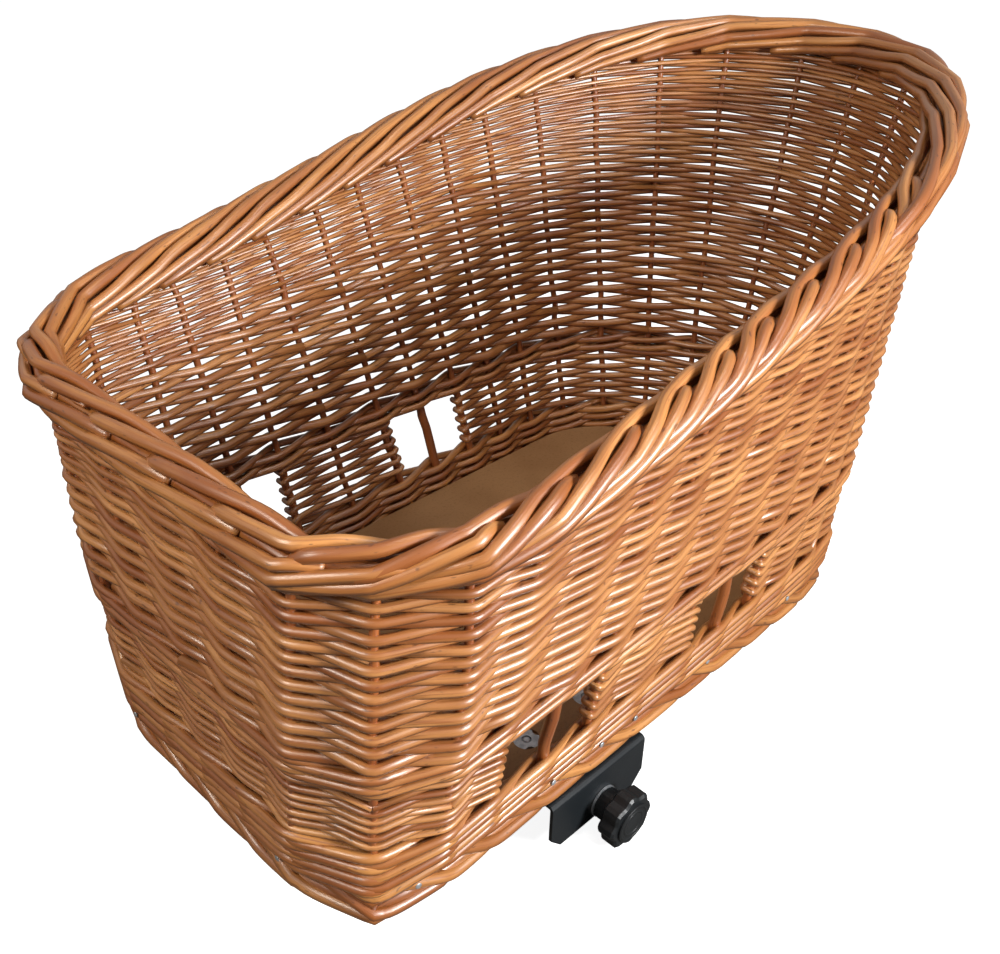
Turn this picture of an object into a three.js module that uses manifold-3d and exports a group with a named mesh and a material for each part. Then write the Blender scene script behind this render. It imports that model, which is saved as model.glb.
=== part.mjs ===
// A wicker dog basket for a bicycle carrier, with the clamp bracket under it.
// Millimetres, +Z up. +X runs from the flat front to the round back, +Y is the left side.
// The origin is the middle of the bracket plate's underside, where a carrier's rails lie.
import * as THREE from 'three'
import { mergeVertices } from 'three/addons/utils/BufferGeometryUtils.js'
import Module from 'manifold-3d'

const wasm = await Module()
wasm.setup()

// Gap between two pieces that touch
const seat = 0.3

// Outline of the basket at its foot, x measured from the front edge
const baseWidth = 280
const baseLength = 534
const baseCornerRadius = 50
const baseStraightEnd = 438
const baseRoundness = 2

// Outline of the wall at the rim, which overhangs the foot all round and has wider front corners
const mouthSideOverhang = 45.5
const mouthFrontOverhang = 4
const mouthBackOverhang = 71
const mouthCornerRadius = 70
const mouthStraightEnd = 305
const mouthRoundness = 2.13

// Height of the rim's top over the foot, as a curve with four heights from front to back
const frontHeight = 263
const frontPull = 279
const backPull = 359
const backHeight = 377

// Wicker wall, rim and foot
const wallThickness = 11
const rimWidth = 27
const rimDepth = 24
const rimOverhang = 8
const rimChamfer = 7
const footDepth = 20
const footWidth = 18
const footChamfer = 4

// Windows, two in each side, each between two edge stakes with a bare stake in the middle
const frontWindowStart = 98
const rearWindowStart = 278
const windowSpan = 80
const windowLow = 54
const windowHigh = 103
const windowWaleDepth = 15
const edgeCover = 5

// Stations, the places along the wall: how many steps each stretch of a half basket has
const frontStations = 10
const windowStations = 2
const middleStations = 3
const backStations = 7.5

// Stakes, which lean back a little and fan out round the back
const stakeRadius = 2.9
const middleStakeRadius = 3.8
const stakeClearance = 0.3
const stakeEndGap = 1.5
const frontLean = 10
const leanPerLength = 0.14
const backFan = 0.3

// Floor board and the nails that hold the wicker to its edge, each at its station
const boardThickness = 10
const boardClearance = 0.5
const nailStations = [3.5, 7.5, 11.3, 12.5, 13.5, 15.7, 18.3, 22.4]
const nailShankRadius = 0.8
const nailHeadRadius = 1.8
const nailHeadDepth = 0.8
const nailDepthInBoard = 12

// Bracket of bent sheet under the basket
const bracketStation = 194.5
const bracketLength = 89
const bracketOverhang = 6
const sheet = 2.5
const flangeDepth = 40
const bendRadius = 3.5
const chamferLength = 9
const chamferHeight = 10

// Screws, tee nuts and packing blocks between the bracket and the floor board
const frontScrewPlace = -36
const rearScrewPlace = 19
const screwFromBlockEdge = 7.5
const screwRadius = 2.9
const screwHeadRadius = 5.5
const screwHeadDepth = 3.3
const screwHeadRounding = 1.2
const screwPoint = 1
const screwSocketRadius = 2.3
const screwSocketDepth = 2
const screwClearance = 0.4
const teeFlangeRadius = 8.5
const teeFlangeDepth = 1.5
const teeBarrelRadius = 4
const teeBarrelLength = 7.5
const teeNotches = 3
const teeNotchDepth = 1.8
const teeNotchStart = 0.85
const blockLength = 80
const blockWidth = 29
const blockGap = 1

// Clamp stud, star knob and washer on each flange, a little behind the bracket's middle
const studOffset = 4
const studRadius = 4
const studAxisDepth = 27
const studTip = 28
const studCollarRadius = 7
const studCollarDepth = 4
const studInKnob = 18
const studBevel = 1
const washerRadius = 11.5
const washerDepth = 1.6
const knobRadius = 20
const knobLobes = 8
const knobLobeDepth = 2.6
const knobNeckRadius = 11
const knobNeckLength = 10
const knobHeadDepth = 13
const knobBevel = 1.5
const knobCapRadius = 14
const knobCapDepth = 1.5

// Hook jaw that the stud draws outwards under a carrier rail
const jawLength = 60
const jawFace = 58
const jawWeb = 8
const jawDepth = 36
const railSpace = 14
const hookReach = 16
const hookDepth = 4
const hookNose = 2.5
const hookNoseWidth = 3
const jawBossRadius = 9
const jawBossDepth = 8

// How far a cutting shape runs past what it cuts, and a joined shape into its neighbour
const cutterReach = 6
const joinOverlap = 1

const bracketWidth = baseWidth + 2 * bracketOverhang
const blockOuterEdge = baseWidth / 2 - footWidth - blockGap
const footUnderside = sheet + seat
const boardUnderside = footDepth + seat
const boardTop = boardUnderside + boardThickness
const boardMiddle = boardUnderside + boardThickness / 2

// Materials

const willow = new THREE.MeshStandardMaterial({ color: 0xb9783f, roughness: 0.45, metalness: 0 })
const darkWillow = new THREE.MeshStandardMaterial({ color: 0x9a5a2c, roughness: 0.45, metalness: 0 })
const board = new THREE.MeshStandardMaterial({ color: 0x8d6a44, roughness: 0.6, metalness: 0 })
const blackPaint = new THREE.MeshStandardMaterial({ color: 0x1b1f22, roughness: 0.4, metalness: 0.3 })
const blackPlastic = new THREE.MeshStandardMaterial({ color: 0x24292d, roughness: 0.5, metalness: 0 })
const zinc = new THREE.MeshStandardMaterial({ color: 0xb9bec4, roughness: 0.35, metalness: 0.9 })

// Solids: every piece that is cut or joined goes through these helpers

function solidFrom(geometry) {
  const plain = geometry.clone()
  plain.deleteAttribute('normal')
  plain.deleteAttribute('uv')
  const merged = mergeVertices(plain, 1e-4)
  return new wasm.Manifold(new wasm.Mesh({
    numProp: 3,
    vertProperties: Float32Array.from(merged.attributes.position.array),
    triVerts: Uint32Array.from(merged.index.array)
  }))
}

function geometryFrom(solid) {
  const mesh = solid.getMesh()
  const geometry = new THREE.BufferGeometry()
  geometry.setAttribute('position', new THREE.Float32BufferAttribute(mesh.vertProperties, 3))
  geometry.setIndex(new THREE.Uint32BufferAttribute(mesh.triVerts, 1))
  geometry.computeVertexNormals()
  return geometry
}

function cut(geometry, tools) {
  return geometryFrom(tools.reduce((rest, tool) => rest.subtract(solidFrom(tool)), solidFrom(geometry)))
}

function join(geometries) {
  return geometryFrom(geometries.slice(1).reduce((sum, next) => sum.add(solidFrom(next)), solidFrom(geometries[0])))
}

function meshOf(name, geometry, material) {
  const mesh = new THREE.Mesh(geometry, material)
  mesh.name = name
  return mesh
}

// A straight round bar between two points
function bar(start, end, radius, sides) {
  const along = end.clone().sub(start)
  const geometry = new THREE.CylinderGeometry(radius, radius, along.length(), sides)
  const turn = new THREE.Quaternion().setFromUnitVectors(new THREE.Vector3(0, 1, 0), along.clone().normalize())
  geometry.applyQuaternion(turn)
  geometry.translate(...start.clone().add(end).multiplyScalar(0.5))
  return geometry
}

// A turned piece whose profile holds pairs of radius and distance along the axis
function turned(profile, start, direction, sides) {
  const geometry = new THREE.LatheGeometry(profile.map(([radius, along]) => new THREE.Vector2(radius, along)), sides)
  const turn = new THREE.Quaternion().setFromUnitVectors(new THREE.Vector3(0, 1, 0), direction)
  geometry.applyQuaternion(turn)
  geometry.translate(...start)
  return geometry
}

// A profile drawn in Y and Z, extruded along X and centred on x = 0
function extrudedAlongX(points, length) {
  const shape = new THREE.Shape(points.map(([y, z]) => new THREE.Vector2(y, z)))
  const geometry = new THREE.ExtrudeGeometry(shape, { depth: length, bevelEnabled: false })
  geometry.translate(0, 0, -length / 2)
  geometry.applyMatrix4(new THREE.Matrix4().makeBasis(
    new THREE.Vector3(0, 1, 0),
    new THREE.Vector3(0, 0, 1),
    new THREE.Vector3(1, 0, 0)
  ))
  return geometry
}

// A closed tube of matching sections, joined round in a ring or capped at both ends
function swept(sections, closed) {
  const count = sections[0].length
  const index = []
  const rows = closed ? sections.length : sections.length - 1
  for (let row = 0; row < rows; row++) {
    const next = (row + 1) % sections.length
    for (let side = 0; side < count; side++) {
      const turn = (side + 1) % count
      index.push(row * count + side, next * count + side, next * count + turn)
      index.push(row * count + side, next * count + turn, row * count + turn)
    }
  }
  if (!closed) {
    const last = (sections.length - 1) * count
    for (let side = 1; side < count - 1; side++) {
      index.push(0, side, side + 1)
      index.push(last, last + side + 1, last + side)
    }
  }
  const geometry = new THREE.BufferGeometry().setFromPoints(sections.flat())
  geometry.setIndex(index)
  geometry.computeVertexNormals()
  return geometry
}

// Outlines: a half outline runs from the middle of the front, round the corner, to the middle of the back

function halfOutline(front, halfWidth, cornerRadius, straightEnd, backEnd, roundness) {
  const points = [new THREE.Vector2(front, 0)]
  const cornerSteps = 24
  for (let step = 0; step <= cornerSteps; step++) {
    const angle = Math.PI / 2 * step / cornerSteps
    points.push(new THREE.Vector2(
      front + cornerRadius * (1 - Math.cos(angle)),
      halfWidth - cornerRadius * (1 - Math.sin(angle))
    ))
  }
  const backSteps = 60
  for (let step = 0; step <= backSteps; step++) {
    const angle = Math.PI / 2 * step / backSteps
    points.push(new THREE.Vector2(
      straightEnd + (backEnd - straightEnd) * Math.sin(angle) ** (2 / roundness),
      halfWidth * Math.max(Math.cos(angle), 0) ** (2 / roundness)
    ))
  }
  const distances = [0]
  for (let next = 1; next < points.length; next++) {
    distances.push(distances[next - 1] + points[next].distanceTo(points[next - 1]))
  }
  return { points, distances, total: distances[distances.length - 1] }
}

// The number of the span of rising values that holds a value, and the value's share of that span
function spanOf(values, value) {
  let next = 1
  while (next < values.length - 1 && values[next] < value) next++
  return { span: next - 1, share: (value - values[next - 1]) / (values[next] - values[next - 1]) }
}

function pointAt(outline, distance) {
  const { span, share } = spanOf(outline.distances, distance)
  return outline.points[span].clone().lerp(outline.points[span + 1], share)
}

function distanceAtX(outline, x) {
  const { span, share } = spanOf(outline.points.map((point) => point.x), x)
  return THREE.MathUtils.lerp(outline.distances[span], outline.distances[span + 1], share)
}

const foot = halfOutline(
  0, baseWidth / 2, baseCornerRadius, baseStraightEnd, baseLength, baseRoundness
)
const mouth = halfOutline(
  -mouthFrontOverhang, baseWidth / 2 + mouthSideOverhang, mouthCornerRadius, mouthStraightEnd,
  baseLength + mouthBackOverhang, mouthRoundness
)

// Stations are counted from the middle of the front along the right side, round the back and home
// along the left side. Each stretch shares its length evenly, and every window stake stands at one.

const windowOneStart = frontStations
const windowOneEnd = windowOneStart + windowStations
const windowTwoStart = windowOneEnd + middleStations
const windowTwoEnd = windowTwoStart + windowStations
const halfRound = windowTwoEnd + backStations
const fullRound = 2 * halfRound

function headX(footX) {
  return footX - frontLean - leanPerLength * (footX - frontWindowStart)
}

const knotFeet = [
  frontWindowStart, frontWindowStart + windowSpan,
  rearWindowStart, rearWindowStart + windowSpan
]
const knotStations = [0, windowOneStart, windowOneEnd, windowTwoStart, windowTwoEnd, halfRound]
const footDistances = [0, ...knotFeet.map((x) => distanceAtX(foot, x)), foot.total]
const headDistances = [0, ...knotFeet.map((x) => distanceAtX(mouth, headX(x))), mouth.total]

// Distance along an outline at a station. Round the back the stakes may fan out towards the middle.
function distanceAtStation(distances, station, fan) {
  const { span, share } = spanOf(knotStations, station)
  const roundBack = span === knotStations.length - 2
  const eased = roundBack ? share - fan * share * (1 - share) : share
  return THREE.MathUtils.lerp(distances[span], distances[span + 1], eased)
}

function rimHeightAt(x) {
  const t = (x + mouthFrontOverhang) / (baseLength + mouthFrontOverhang + mouthBackOverhang)
  const rest = 1 - t
  return rest ** 3 * frontHeight + 3 * rest ** 2 * t * frontPull + 3 * rest * t ** 2 * backPull + t ** 3 * backHeight
}

// The outer face of the wall is ruled: each stake line runs straight from the foot to the mouth
function stakeLine(station) {
  const round = ((station % fullRound) + fullRound) % fullRound
  const left = round > halfRound
  const along = left ? fullRound - round : round
  const side = left ? 1 : -1
  const low = pointAt(foot, distanceAtStation(footDistances, along, 0))
  const high = pointAt(mouth, distanceAtStation(headDistances, along, backFan))
  return {
    low: new THREE.Vector3(low.x, side * low.y, 0),
    high: new THREE.Vector3(high.x, side * high.y, rimHeightAt(high.x))
  }
}

function facePoint(station, height) {
  const { low, high } = stakeLine(station)
  return low.clone().lerp(high, height / high.z)
}

function outwards(station, height) {
  const step = 0.05
  const along = facePoint(station + step, height).sub(facePoint(station - step, height))
  return new THREE.Vector3(along.y, -along.x, 0).normalize()
}

function wallPoint(station, height, inset) {
  return facePoint(station, height).addScaledVector(outwards(station, height), -inset)
}

function wallTop(station) {
  return stakeLine(station).high.z - rimDepth - seat
}

// The wall is sampled at steps that divide the count evenly: short ones where it bends
const cornerStart = 4
const cornerEnd = 8
const straightStep = 1
const bentStep = 0.5

function stationsBetween(from, to) {
  const stations = [from]
  while (stations[stations.length - 1] < to) {
    const last = stations[stations.length - 1]
    const along = Math.min(Math.abs(last + bentStep / 2), fullRound - Math.abs(last + bentStep / 2))
    const bent = (along > cornerStart && along < cornerEnd) || along > windowTwoEnd
    stations.push(last + (bent ? bentStep : straightStep))
  }
  return stations
}

function stationsRound() {
  return stationsBetween(0, fullRound).slice(0, -1)
}

// A length of woven wall between two heights
function wallBand(stations, lowAt, highAt, closed) {
  const sections = stations.map((station) => [
    wallPoint(station, lowAt(station), 0),
    wallPoint(station, highAt(station), 0),
    wallPoint(station, highAt(station), wallThickness),
    wallPoint(station, lowAt(station), wallThickness)
  ])
  return swept(sections, closed)
}

// Stakes at the windows: two edge stakes and a bare middle stake in each

const windowNames = ['front', 'rear']
const windowFirstStations = [windowOneStart, windowTwoStart]
const stakes = []
for (const side of ['right', 'left']) {
  for (const [number, first] of windowFirstStations.entries()) {
    for (const [place, offset] of [['front_edge', 0], ['middle', windowStations / 2], ['rear_edge', windowStations]]) {
      const along = first + offset
      stakes.push({
        name: `${windowNames[number]}_window_${place}_stake_${side}`,
        station: side === 'right' ? along : fullRound - along,
        radius: place === 'middle' ? middleStakeRadius : stakeRadius
      })
    }
  }
}

function stakeBar(stake, extra, lengthen) {
  const start = wallPoint(stake.station, boardUnderside + stakeEndGap, wallThickness / 2)
  const end = wallPoint(stake.station, wallTop(stake.station) - stakeEndGap, wallThickness / 2)
  const reach = end.clone().sub(start).normalize().multiplyScalar(lengthen)
  return bar(start.clone().sub(reach), end.clone().add(reach), stake.radius + extra, 8)
}

const stakeChannels = stakes.map((stake) => stakeBar(stake, stakeClearance, cutterReach))

// The channels of the stakes from one station to another, which may be counted back past the front
function channelsBetween(from, to) {
  const within = (station) => station >= from && station <= to
  return stakeChannels.filter((_, number) => {
    const { station } = stakes[number]
    return within(station) || within(station - fullRound)
  })
}

// Nails through the foot of the wall into the edge of the floor board

const nails = nailStations.flatMap((station, number) => [
  { name: `edge_nail_right_${number + 1}`, station },
  { name: `edge_nail_left_${number + 1}`, station: fullRound - station }
])

function nailGeometry(nail) {
  const inwards = outwards(nail.station, boardMiddle).negate()
  const start = wallPoint(nail.station, boardMiddle, -seat - nailHeadDepth)
  const tip = nailHeadDepth + seat + wallThickness + boardClearance + nailDepthInBoard
  const profile = [
    [0, 0], [nailHeadRadius, 0], [nailHeadRadius, nailHeadDepth], [nailShankRadius, nailHeadDepth],
    [nailShankRadius, tip - 2 * nailShankRadius], [0, tip]
  ]
  return turned(profile, start, inwards, 6)
}

function nailChannel(nail) {
  const inwards = outwards(nail.station, boardMiddle).negate()
  const start = wallPoint(nail.station, boardMiddle, -cutterReach)
  const length = cutterReach + wallThickness + boardClearance + nailDepthInBoard + seat
  return bar(start, start.clone().addScaledVector(inwards, length), nailShankRadius + seat, 6)
}

const nailChannels = nails.map(nailChannel)

// Wicker

const basket = new THREE.Group()
basket.position.set(-bracketStation, 0, footUnderside)

function footBorder() {
  const sections = stationsRound().map((station) => [
    wallPoint(station, 0, footChamfer),
    wallPoint(station, 0, 0).setZ(footChamfer),
    wallPoint(station, 0, 0).setZ(footDepth),
    wallPoint(station, 0, footWidth).setZ(footDepth),
    wallPoint(station, 0, footWidth)
  ])
  return swept(sections, true)
}

function rimBorder() {
  const sections = stationsRound().map((station) => {
    const top = stakeLine(station).high.z
    const corner = (inset, depth) => wallPoint(station, top, inset).setZ(top - depth)
    return [
      corner(-rimOverhang + rimChamfer, rimDepth),
      corner(-rimOverhang, rimDepth - rimChamfer),
      corner(-rimOverhang, rimChamfer),
      corner(-rimOverhang + rimChamfer, 0),
      corner(rimWidth - rimOverhang - rimChamfer, 0),
      corner(rimWidth - rimOverhang, rimChamfer),
      corner(rimWidth - rimOverhang, rimDepth - rimChamfer),
      corner(rimWidth - rimOverhang - rimChamfer, rimDepth)
    ]
  })
  return swept(sections, true)
}

const waleTop = windowLow - seat
const upperWaleLow = windowHigh + seat
const upperWaleTop = upperWaleLow + windowWaleDepth
const sidingLow = upperWaleTop + seat

function ringBand(lowAt, highAt, extraTools) {
  return cut(wallBand(stationsRound(), lowAt, highAt, true), [...stakeChannels, ...extraTools])
}

// A band between two windows, reaching a little past its edge stakes to cover them
function windowBand(fromStation, toStation) {
  const stepLength = (station) => facePoint(station, windowLow).distanceTo(facePoint(station + 1, windowLow))
  const from = fromStation - edgeCover / stepLength(fromStation - 1)
  const to = toStation + edgeCover / stepLength(toStation)
  const stations = [from, ...stationsBetween(fromStation, toStation), to]
  const band = wallBand(stations, () => windowLow, () => windowHigh, false)
  return cut(band, channelsBetween(fromStation, toStation))
}

basket.add(meshOf('foot_border', footBorder(), darkWillow))
basket.add(meshOf('bottom_wale', ringBand(() => boardUnderside, () => waleTop, nailChannels), willow))
basket.add(meshOf('window_wale', ringBand(() => upperWaleLow, () => upperWaleTop, []), willow))
basket.add(meshOf('upper_siding', ringBand(() => sidingLow, wallTop, []), willow))
basket.add(meshOf('rim_border', rimBorder(), darkWillow))
basket.add(meshOf('middle_panel_right', windowBand(windowOneEnd, windowTwoStart), willow))
basket.add(meshOf('middle_panel_left', windowBand(fullRound - windowTwoStart, fullRound - windowOneEnd), willow))
basket.add(meshOf('rear_window_band', windowBand(windowTwoEnd, fullRound - windowTwoEnd), willow))
basket.add(meshOf('front_window_band', windowBand(-windowOneStart, windowOneStart), willow))

for (const stake of stakes) {
  basket.add(meshOf(stake.name, stakeBar(stake, 0, 0), darkWillow))
}

for (const nail of nails) {
  basket.add(meshOf(nail.name, nailGeometry(nail), zinc))
}

// Floor board

const screwSide = blockOuterEdge - screwFromBlockEdge
const screwPlaces = { front: frontScrewPlace, rear: rearScrewPlace }
const screws = Object.entries(screwPlaces).flatMap(([end, x]) => [-1, 1].map((side) => ({
  label: `${end}_${side < 0 ? 'right' : 'left'}`,
  x,
  y: side * screwSide
})))

const up = new THREE.Vector3(0, 0, 1)

// The tee nuts are sunk flush, with a gap under the flange and the same above it
const teeRecess = teeFlangeDepth + 2 * seat

function uprightBar(x, y, low, high, radius, sides) {
  return bar(new THREE.Vector3(x, y, low), new THREE.Vector3(x, y, high), radius, sides)
}

function floorBoard() {
  const edge = stationsRound().map((station) => wallPoint(station, boardUnderside, wallThickness + boardClearance))
  const shape = new THREE.Shape(edge.map((point) => new THREE.Vector2(point.x, point.y)))
  const slab = new THREE.ExtrudeGeometry(shape, { depth: boardThickness, bevelEnabled: false })
  slab.translate(0, 0, boardUnderside)
  const holes = screws.map(({ x, y }) => uprightBar(
    x + bracketStation, y, boardUnderside - seat, boardTop + seat, teeBarrelRadius + seat, 16
  ))
  const recesses = screws.map(({ x, y }) => uprightBar(
    x + bracketStation, y, boardTop - teeRecess, boardTop + seat, teeFlangeRadius + seat, 24
  ))
  return cut(slab, [...holes, ...recesses, ...nailChannels])
}

basket.add(meshOf('floor_board', floorBoard(), board))

// Bracket: a plate with a flange bent down at each side

function bracket() {
  const half = bracketWidth / 2
  const bend = (centreY, side, radius) => {
    const steps = 4
    return Array.from({ length: steps + 1 }, (_, step) => {
      const angle = Math.PI / 2 * step / steps
      return [centreY + side * radius * Math.sin(angle), sheet - bendRadius + radius * Math.cos(angle)]
    })
  }
  const bendCentre = half - bendRadius
  const inner = bendRadius - sheet
  const bottom = sheet - flangeDepth
  const profile = [
    [-half, bottom],
    [-half + sheet, bottom],
    ...bend(-bendCentre, -1, inner).reverse(),
    ...bend(bendCentre, 1, inner),
    [half - sheet, bottom],
    [half, bottom],
    ...bend(bendCentre, 1, bendRadius).reverse(),
    ...bend(-bendCentre, -1, bendRadius)
  ]
  const channel = extrudedAlongX(profile, bracketLength)
  const screwHoles = screws.map(({ x, y }) => uprightBar(x, y, -sheet, 2 * sheet, screwRadius + screwClearance, 16))
  const studHoles = [-1, 1].map((side) => bar(
    new THREE.Vector3(studOffset, side * (half - 2 * sheet), -studAxisDepth),
    new THREE.Vector3(studOffset, side * (half + sheet), -studAxisDepth),
    studRadius + seat, 16
  ))
  const corners = [-1, 1].flatMap((end) => [-1, 1].map((side) => flangeCorner(end, side, bottom)))
  return cut(channel, [...screwHoles, ...studHoles, ...corners])
}

// The wedge that is cut off a flange's lower corner
function flangeCorner(end, side, bottom) {
  const shape = new THREE.Shape([
    new THREE.Vector2(0, chamferHeight),
    new THREE.Vector2(-2 * chamferLength, -chamferHeight),
    new THREE.Vector2(chamferLength, -chamferHeight),
    new THREE.Vector2(chamferLength, chamferHeight)
  ])
  const wedge = new THREE.ExtrudeGeometry(shape, { depth: 4 * sheet, bevelEnabled: false })
  wedge.translate(0, 0, -2 * sheet)
  wedge.rotateX(Math.PI / 2)
  if (end < 0) wedge.rotateZ(Math.PI)
  wedge.translate(end * bracketLength / 2, side * (bracketWidth - sheet) / 2, bottom)
  return wedge
}

const product = new THREE.Group()
product.add(basket)
product.add(meshOf('rack_bracket', bracket(), blackPaint))

// Packing blocks, screws and tee nuts

const blockTop = footUnderside + boardUnderside - seat
for (const side of [-1, 1]) {
  const block = new THREE.BoxGeometry(blockLength, blockWidth, blockTop - footUnderside)
  block.translate(0, side * (blockOuterEdge - blockWidth / 2), (blockTop + footUnderside) / 2)
  const holes = screws.filter(({ y }) => y * side > 0).map(({ x, y }) => uprightBar(
    x, y, 0, blockTop + sheet, screwRadius + screwClearance, 16
  ))
  product.add(meshOf(`packing_block_${side < 0 ? 'right' : 'left'}`, cut(block, holes), board))
}

const teeFlangeTop = footUnderside + boardTop - seat

// A screw runs from its head under the plate to the top of its tee nut
function screwGeometry({ x, y }) {
  const length = screwHeadDepth + seat + teeFlangeTop
  const profile = [
    [0, 0], [screwHeadRadius - screwHeadRounding, 0], [screwHeadRadius, screwHeadRounding],
    [screwHeadRadius, screwHeadDepth], [screwRadius, screwHeadDepth],
    [screwRadius, length - screwPoint], [screwRadius - screwPoint, length], [0, length]
  ]
  const blank = turned(profile, new THREE.Vector3(x, y, -screwHeadDepth - seat), up, 16)
  const socket = uprightBar(
    x, y, -2 * screwHeadDepth, -screwHeadDepth - seat + screwSocketDepth, screwSocketRadius, 6
  )
  return cut(blank, [socket])
}

function teeNut({ x, y }) {
  const steps = 36
  const edge = Array.from({ length: steps }, (_, step) => {
    const angle = 2 * Math.PI * step / steps
    const notched = Math.cos(teeNotches * angle) > teeNotchStart
    const radius = teeFlangeRadius - (notched ? teeNotchDepth : 0)
    return new THREE.Vector2(radius * Math.cos(angle), radius * Math.sin(angle))
  })
  const flange = new THREE.ExtrudeGeometry(new THREE.Shape(edge), { depth: teeFlangeDepth, bevelEnabled: false })
  const flangeLow = teeFlangeTop - teeFlangeDepth
  flange.translate(x, y, flangeLow)
  const barrel = uprightBar(
    x, y, flangeLow - teeBarrelLength, flangeLow + teeFlangeDepth / 2, teeBarrelRadius, 16
  )
  const bore = uprightBar(
    x, y, flangeLow - teeBarrelLength - cutterReach, teeFlangeTop + cutterReach, screwRadius + seat, 16
  )
  return cut(join([flange, barrel]), [bore])
}

for (const screw of screws) {
  product.add(meshOf(`bracket_screw_${screw.label}`, screwGeometry(screw), zinc))
  product.add(meshOf(`tee_nut_${screw.label}`, teeNut(screw), zinc))
}

// Clamps: the knob and its stud turn in the flange, and the jaw runs along the stud

function outwardPoint(side, distance) {
  return new THREE.Vector3(studOffset, side * distance, -studAxisDepth)
}

const flangeFace = bracketWidth / 2
const neckStart = flangeFace + washerDepth + 2 * seat
const headStart = neckStart + knobNeckLength
const studEnd = neckStart + studInKnob

function clampStud(side) {
  const collarEnd = flangeFace - sheet - seat - studTip
  const collarStart = collarEnd - studCollarDepth
  const length = studEnd - studTip
  const profile = [
    [0, 0], [studRadius - studBevel, 0], [studRadius, studBevel], [studRadius, collarStart], [studCollarRadius, collarStart],
    [studCollarRadius, collarEnd], [studRadius, collarEnd], [studRadius, length], [0, length]
  ]
  return turned(profile, outwardPoint(side, studTip), new THREE.Vector3(0, side, 0), 16)
}

function studWasher(side) {
  const start = flangeFace + seat
  const ring = bar(outwardPoint(side, start), outwardPoint(side, start + washerDepth), washerRadius, 24)
  const hole = bar(
    outwardPoint(side, start - cutterReach), outwardPoint(side, start + washerDepth + cutterReach), studRadius + seat, 16
  )
  return cut(ring, [hole])
}

function starKnob(side) {
  const steps = 6 * knobLobes
  const middle = knobRadius - knobBevel - knobLobeDepth / 2
  const edge = Array.from({ length: steps }, (_, step) => {
    const angle = 2 * Math.PI * step / steps
    const radius = middle + knobLobeDepth / 2 * Math.cos(knobLobes * angle)
    return new THREE.Vector2(radius * Math.cos(angle), radius * Math.sin(angle))
  })
  const head = new THREE.ExtrudeGeometry(new THREE.Shape(edge), {
    depth: knobHeadDepth - 2 * knobBevel,
    bevelThickness: knobBevel,
    bevelSize: knobBevel,
    bevelSegments: 1
  })
  head.rotateX(side * -Math.PI / 2)
  head.translate(studOffset, side * (headStart + knobBevel), -studAxisDepth)
  const neck = bar(
    outwardPoint(side, neckStart), outwardPoint(side, headStart + joinOverlap), knobNeckRadius, 20
  )
  const headEnd = headStart + knobHeadDepth
  const cap = bar(
    outwardPoint(side, headEnd - joinOverlap), outwardPoint(side, headEnd + knobCapDepth), knobCapRadius, 24
  )
  const bore = bar(
    outwardPoint(side, neckStart - cutterReach), outwardPoint(side, studEnd + seat), studRadius + seat, 16
  )
  return cut(join([head, neck, cap]), [bore])
}

function hookJaw(side) {
  const inner = jawFace - jawWeb
  const hookEnd = jawFace + hookReach
  const hookTop = -railSpace - seat
  const outline = [
    [inner, -jawDepth], [jawFace, -jawDepth], [jawFace, hookTop - hookDepth], [hookEnd, hookTop - hookDepth],
    [hookEnd, hookTop + hookNose], [hookEnd - hookNoseWidth, hookTop + hookNose],
    [hookEnd - hookNoseWidth, hookTop], [jawFace, hookTop], [jawFace, -seat], [inner, -seat]
  ]
  const body = extrudedAlongX(outline.map(([y, z]) => [side * y, z]), jawLength)
  body.translate(studOffset, 0, 0)
  const boss = bar(
    outwardPoint(side, inner - jawBossDepth), outwardPoint(side, inner + joinOverlap), jawBossRadius, 24
  )
  const hole = bar(
    outwardPoint(side, inner - jawBossDepth - cutterReach), outwardPoint(side, jawFace + cutterReach),
    studRadius + seat, 16
  )
  return cut(join([body, boss]), [hole])
}

for (const side of [-1, 1]) {
  const end = side < 0 ? 'right' : 'left'
  product.add(meshOf(`clamp_stud_${end}`, clampStud(side), zinc))
  product.add(meshOf(`stud_washer_${end}`, studWasher(side), zinc))
  product.add(meshOf(`star_knob_${end}`, starKnob(side), blackPlastic))
  product.add(meshOf(`hook_jaw_${end}`, hookJaw(side), blackPaint))
}

export default product
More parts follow.
